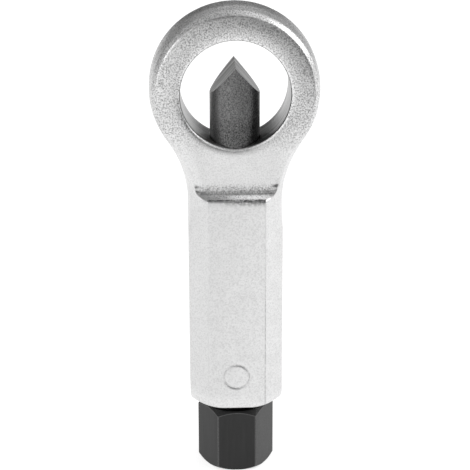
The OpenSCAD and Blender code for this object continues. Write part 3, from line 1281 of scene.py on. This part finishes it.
@dataclass
class DriveScrew:
    """Drive screw: hexagon, relief, M14 x 1.5 thread and the spigot that carries the chisel."""

    node: str = "drive_screw"
    hex_sides: int = 6
    hex_flats: float = 17.0 * MM
    hex_length: float = 16.65 * MM
    hex_face_d: float = 16.4 * MM
    hex_foot_d: float = 16.8 * MM
    hex_slope: float = 38.0
    # Rounding of the hexagon's corners, which are sharper than an angle in degrees
    hex_edge: float = 0.20 * MM
    hex_edge_steps: int = 4
    hex_corner: float = 50.0
    relief_d: float = 11.6 * MM
    relief_length: float = 2.5 * MM
    thread_d: float = 13.9 * MM
    pitch: float = 1.5 * MM
    # ISO thread: depth as a share of the sharp triangle's height, then root, flank and crest of the pitch
    depth_share: float = 17 / 24
    root_share: float = 1 / 4
    flank_share: float = 5 / 16
    crest_share: float = 1 / 8
    # Turns wound past each end before trimming, and how far the core stays under the thread's root
    spare_turns: int = 2
    core_gap: float = 0.05 * MM
    nose_z: float = 50.2 * MM
    nose_chamfer: float = 1.0 * MM
    spigot_d: float = 7.6 * MM
    spigot_length: float = 5.0 * MM
    ball_seat_r: float = 2.54 * MM
    ball_seat_depth: float = 2.04 * MM
    groove_height: float = 1.5 * MM
    groove_r: float = 0.56 * MM
    # How far trimming and joining shapes reach past the finished ones
    spare: float = 1.0 * MM
    smooth_angle: float = 28.0
    steps: int = 96

    @property
    def hex_r(self) -> float:
        """Distance of the hexagon's corners from the axis."""
        return self.hex_flats / math.sqrt(3)

    @property
    def thread_depth(self) -> float:
        """Depth of an ISO external thread."""
        return self.depth_share * self.pitch * math.sqrt(3) / 2

    def hexagon(self) -> bpy.types.Object:
        """Models the hexagon with its turned ends and rubbed corners.

        Returns:
            The hexagon as a closed mesh.
        """
        piece = cylinder("hex_drive_screw", self.hex_r, self.hex_length, (0.0, 0.0, self.hex_length / 2),
                         (0.0, 0.0, math.pi / self.hex_sides), self.hex_sides)
        with editing(piece):
            bpy.ops.mesh.normals_make_consistent(inside=False)
        break_edges(piece, self.hex_edge, self.hex_edge_steps, self.hex_corner)
        slope = math.tan(math.radians(self.hex_slope))
        outer = self.hex_r + self.spare
        envelope = turned("hexagon_envelope", [
            (0.0, -self.spare),
            (self.hex_foot_d / 2 - self.spare / slope, -self.spare),
            (outer, (outer - self.hex_foot_d / 2) * slope),
            (outer, self.hex_length - (outer - self.hex_face_d / 2) * slope),
            (self.hex_face_d / 2 - self.spare / slope, self.hex_length + self.spare),
            (0.0, self.hex_length + self.spare),
        ], self.steps)
        combine(piece, envelope, Cut.COMMON)
        return piece

    def core(self) -> bpy.types.Object:
        """Turns the relief, the core under the thread and the spigot with its groove and seat.

        Returns:
            The core as a closed mesh.
        """
        top = self.nose_z + self.spigot_length
        core_r = self.thread_d / 2 - self.thread_depth - self.core_gap
        return turned("screw_core", [
            (0.0, self.hex_length - self.spare),
            (self.relief_d / 2, self.hex_length - self.spare),
            (self.relief_d / 2, self.hex_length + self.relief_length),
            (core_r, self.hex_length + self.relief_length + core_r - self.relief_d / 2),
            (core_r, self.nose_z),
            (self.spigot_d / 2, self.nose_z),
            *groove(self.spigot_d / 2, self.nose_z + self.groove_height, self.groove_r, -1),
            (self.spigot_d / 2, top),
            (self.ball_seat_r, top),
            (self.ball_seat_r, top - self.ball_seat_depth),
            (0.0, top - self.ball_seat_depth),
        ], self.steps)

    def thread(self) -> bpy.types.Object:
        """Winds the thread and trims its two ends to their chamfers.

        Returns:
            The threaded length as a closed mesh.
        """
        crest = self.thread_d / 2
        root = crest - self.thread_depth
        start = self.hex_length + self.relief_length
        low = start - self.spare_turns * self.pitch
        foot = low + self.root_share * self.pitch
        top = foot + self.flank_share * self.pitch
        piece = wire("screw_thread", [
            (root, low),
            (root, foot),
            (crest, top),
            (crest, top + self.crest_share * self.pitch),
            (root, low + self.pitch),
        ])
        turns = math.ceil((self.nose_z - start) / self.pitch) + 2 * self.spare_turns
        apply_modifier(piece, "SCREW", axis="Z", angle=FULL_TURN, screw_offset=self.pitch,
                       iterations=turns, steps=self.steps, render_steps=self.steps)
        weld(piece)
        with editing(piece):
            bpy.ops.mesh.fill_holes(sides=0)
            bpy.ops.mesh.select_all(action="SELECT")
            bpy.ops.mesh.normals_make_consistent(inside=False)
        envelope = turned("thread_envelope", [
            (0.0, start),
            (self.relief_d / 2, start),
            (crest + self.spare, start + crest + self.spare - self.relief_d / 2),
            (crest + self.spare, self.nose_z - self.nose_chamfer - self.spare),
            (crest - self.nose_chamfer, self.nose_z),
            (0.0, self.nose_z),
        ], self.steps)
        combine(piece, envelope, Cut.COMMON)
        return piece

    def build(self) -> bpy.types.Object:
        """Joins hexagon, core and thread.

        Returns:
            The finished piece.
        """
        piece = self.hexagon()
        combine(piece, self.core(), Cut.JOIN)
        combine(piece, self.thread(), Cut.JOIN)
        smooth_below(piece, self.smooth_angle)
        return piece

    def dress(self, piece: bpy.types.Object, finish: Finish) -> None:
        """Gives the piece its finish and its place in the part.

        Args:
            piece: the finished piece.
            finish: finish of the whole piece.
        """
        piece.data.materials.append(finish.material())
        settle(piece, Body.SCREW, self.node)


@dataclass
class GuidePin:
    """Dowel in the back wall, with a crowned end that shows in the handle's back flat."""

    node: str = "guide_pin"
    # Rounding of the ends, whose edges are sharper than an angle in degrees
    edge: float = 0.3 * MM
    edge_steps: int = 4
    edge_angle: float = 60.0
    smooth_angle: float = 40.0
    steps: int = 48

    def build(self) -> bpy.types.Object:
        """Models the dowel with rounded ends.

        Returns:
            The finished piece.
        """
        low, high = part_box(self.node)
        piece = cylinder("dowel", (high.x - low.x) / 2, high.y - low.y, (low + high) / 2,
                         (QUARTER_TURN, 0.0, 0.0), self.steps)
        break_edges(piece, self.edge, self.edge_steps, self.edge_angle)
        smooth_below(piece, self.smooth_angle)
        return piece

    def dress(self, piece: bpy.types.Object, finish: Finish) -> None:
        """Gives the piece its finish and its place in the part.

        Args:
            piece: the finished piece.
            finish: finish of the whole piece.
        """
        piece.data.materials.append(finish.material())
        settle(piece, Body.FORGING, self.node)


@dataclass
class Swivel:
    """Ball and snap ring between screw and chisel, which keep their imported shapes."""

    ball_node: str = "thrust_ball"
    ring_node: str = "snap_ring"

    def dress(self, ball: Finish, ring: Finish) -> None:
        """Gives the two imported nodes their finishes.

        Args:
            ball: finish of the ball.
            ring: finish of the snap ring.
        """
        for node, finish in ((self.ball_node, ball), (self.ring_node, ring)):
            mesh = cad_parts[node].data
            mesh.materials.clear()
            mesh.materials.append(finish.material())
            LOG.info("node %s keeps its shape", node)


def settle(piece: bpy.types.Object, body: Body, node: str) -> None:
    """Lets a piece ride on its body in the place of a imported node.

    Args:
        piece: the finished piece.
        body: the body that carries it.
        node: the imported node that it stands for.
    """
    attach(piece, body.value)
    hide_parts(node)
    LOG.info("piece %s rides on %s, %d faces", piece.name, body.value, len(piece.data.polygons))


# Studio


@dataclass(frozen=True)
class Softbox:
    """Square lamp that shines at the middle of the tool."""

    name: str
    place: tuple[float, float, float]
    side: float
    power: float

    def light(self, target: Vector) -> None:
        """Puts the lamp in its place.

        Args:
            target: the point that it faces.
        """
        lamp = bpy.data.lights.new(self.name, "AREA")
        lamp.shape = "SQUARE"
        lamp.size = self.side
        lamp.energy = self.power
        holder = bpy.data.objects.new(self.name, lamp)
        bpy.context.scene.collection.objects.link(holder)
        holder.location = self.place
        holder.rotation_euler = (target - holder.location).to_track_quat("-Z", "Y").to_euler()


@dataclass(frozen=True)
class Flag:
    """Grey card outside the picture, which only shows in the metal."""

    name: str
    place: tuple[float, float, float]
    size: tuple[float, float]
    grey: str

    def hang(self, target: Vector) -> None:
        """Hangs the card so that it faces the tool.

        Args:
            target: the point that it faces.
        """
        bpy.ops.object.select_all(action="DESELECT")
        bpy.ops.mesh.primitive_plane_add(size=1.0)
        card = bpy.context.object
        card.name = self.name
        card.scale = (*self.size, 1.0)
        card.location = self.place
        card.rotation_euler = (target - card.location).to_track_quat("Z", "Y").to_euler()
        card.visible_camera = False
        card.visible_diffuse = False
        card.visible_shadow = False
        material, tree = new_material(self.name)
        glow = add_node(tree, "ShaderNodeEmission", {"Color": linear(self.grey)})
        add_node(tree, "ShaderNodeOutputMaterial", {"Surface": glow.outputs["Emission"]})
        card.data.materials.append(material)


@dataclass
class Studio:
    """White floor and room, soft lamps, grey cards and the camera of the picture."""

    floor_side: float = 6.0
    floor_white: str = "#FBFBFB"
    # Share of the floor's white that comes from below, as on a lit table
    floor_glow: float = 0.60
    floor_level: float = 1.19
    target_z: float = 62.0 * MM
    # Camera: degrees to the left, above the horizon and turned about the view, then lengths
    azimuth: float = 2.2
    elevation: float = 20.4
    roll: float = -0.17
    distance: float = 455.5 * MM
    aim: tuple[float, float, float] = (-0.02 * MM, 0.0, 62.14 * MM)
    focal_px: float = 1800.4
    picture_px: float = 470.0
    sensor_mm: float = 36.0
    clip_start: float = 10.0 * MM
    softboxes: tuple[Softbox, ...] = (
        Softbox("softbox_right", place=(0.62, 0.06, 0.50), side=0.42, power=2.1),
        Softbox("softbox_left", place=(-0.60, -0.35, 0.40), side=0.45, power=0.85),
    )
    flags: tuple[Flag, ...] = (
        Flag("flag_overhead", place=(-0.30, 0.12, 0.85), size=(1.10, 0.75), grey="#BCBCBC"),
        Flag("flag_left", place=(-0.80, 0.20, 0.42), size=(1.0, 0.76), grey="#B4B4B4"),
        Flag("flag_front", place=(0.36, -0.72, 0.20), size=(0.86, 0.42), grey="#101010"),
        Flag("flag_front_top", place=(-0.09, -0.80, 0.40), size=(0.44, 0.28), grey="#1C1C1C"),
        Flag("flag_front_high", place=(0.05, -0.43, 0.87), size=(0.70, 0.50), grey="#1C1C1C"),
        Flag("flag_front_low", place=(0.28, -0.24, 0.105), size=(0.22, 0.20), grey="#101010"),
        Flag("flag_back", place=(0.0, 0.85, 0.33), size=(0.70, 0.50), grey="#1C1C1C"),
        Flag("flag_back_left", place=(-0.58, 0.70, 0.33), size=(0.55, 0.50), grey="#8C8C8C"),
        Flag("flag_back_right", place=(0.55, 0.70, 0.30), size=(0.5, 0.50), grey="#A0A0A0"),
    )

    def floor(self) -> None:
        """Lays the white floor, which is lit from below."""
        bpy.ops.object.select_all(action="DESELECT")
        bpy.ops.mesh.primitive_plane_add(size=self.floor_side)
        plane = bpy.context.object
        plane.name = "floor"
        material, tree = new_material("white_paper_floor")
        paper = add_node(tree, "ShaderNodeBsdfDiffuse", {"Color": linear(self.floor_white)})
        glow = add_node(tree, "ShaderNodeEmission", {"Color": linear(WHITE), "Strength": self.floor_level})
        lit = add_node(tree, "ShaderNodeMixShader", {
            0: self.floor_glow, 1: paper.outputs["BSDF"], 2: glow.outputs["Emission"]})
        add_node(tree, "ShaderNodeOutputMaterial", {"Surface": lit.outputs["Shader"]})
        plane.data.materials.append(material)

    def room(self) -> None:
        """Makes the white room."""
        world = bpy.data.worlds.new("white_room")
        world.use_nodes = True
        tree = world.node_tree
        tree.nodes.clear()
        white = add_node(tree, "ShaderNodeBackground", {"Color": linear(WHITE)})
        add_node(tree, "ShaderNodeOutputWorld", {"Surface": white.outputs["Background"]})
        bpy.context.scene.world = world

    def camera(self) -> None:
        """Sets the camera where the picture was taken from."""
        turn, rise, roll = (math.radians(a) for a in (self.azimuth, self.elevation, self.roll))
        back = Vector((-math.sin(turn) * math.cos(rise), -math.cos(turn) * math.cos(rise), math.sin(rise)))
        right = Vector((math.cos(turn), -math.sin(turn), 0.0))
        up = back.cross(right)
        x_axis = math.cos(roll) * right + math.sin(roll) * up
        y_axis = back.cross(x_axis)
        lens = bpy.data.cameras.new("camera")
        lens.sensor_width = self.sensor_mm
        lens.lens = self.focal_px * self.sensor_mm / self.picture_px
        lens.clip_start = self.clip_start
        holder = bpy.data.objects.new("camera", lens)
        bpy.context.scene.collection.objects.link(holder)
        place = Matrix((x_axis, y_axis, back)).transposed().to_4x4()
        place.translation = Vector(self.aim) + self.distance * back
        holder.matrix_world = place
        bpy.context.scene.camera = holder

    def build(self) -> None:
        """Sets up floor, room, lamps, cards and camera."""
        bpy.context.scene.view_settings.view_transform = "Standard"
        target = Vector((0.0, 0.0, self.target_z))
        self.floor()
        self.room()
        for softbox in self.softboxes:
            softbox.light(target)
        for flag in self.flags:
            flag.hang(target)
        self.camera()
        LOG.info("studio with %d lamps and %d cards", len(self.softboxes), len(self.flags))


def main() -> None:
    """Builds and dresses every sub-assembly, then the studio."""
    logging.basicConfig(level=logging.INFO, format="%(message)s")
    body = ForgedBody()
    body.dress(body.build(), BlastedPlating(), LinedSteel(
        name="bored_plated_steel", bright="#C2C2C2", line="#888888", roughness=0.34,
        line_mm=0.9, line_stretch=0.03))
    chisel = Chisel()
    chisel.dress(chisel.build(), HardenedSteel(), LinedSteel(
        name="ground_tool_steel", bright="#DCDCDC", line="#6A6A6A", roughness=0.38, line_mm=1.1))
    screw = DriveScrew()
    screw.dress(screw.build(), BlackOxide())
    pin = GuidePin()
    pin.dress(pin.build(), BareSteel(
        name="ground_dowel_steel", bright="#B4B4B4", shade="#9A9A9A", roughness=0.34))
    Swivel().dress(
        BareSteel(name="polished_bearing_steel", bright="#D6D6D8", shade="#CACACC", roughness=0.12),
        BareSteel(name="drawn_spring_wire", bright="#8C8C8E", shade="#747476", roughness=0.36),
    )
    Studio().build()


if __name__ == "__main__":
    main()
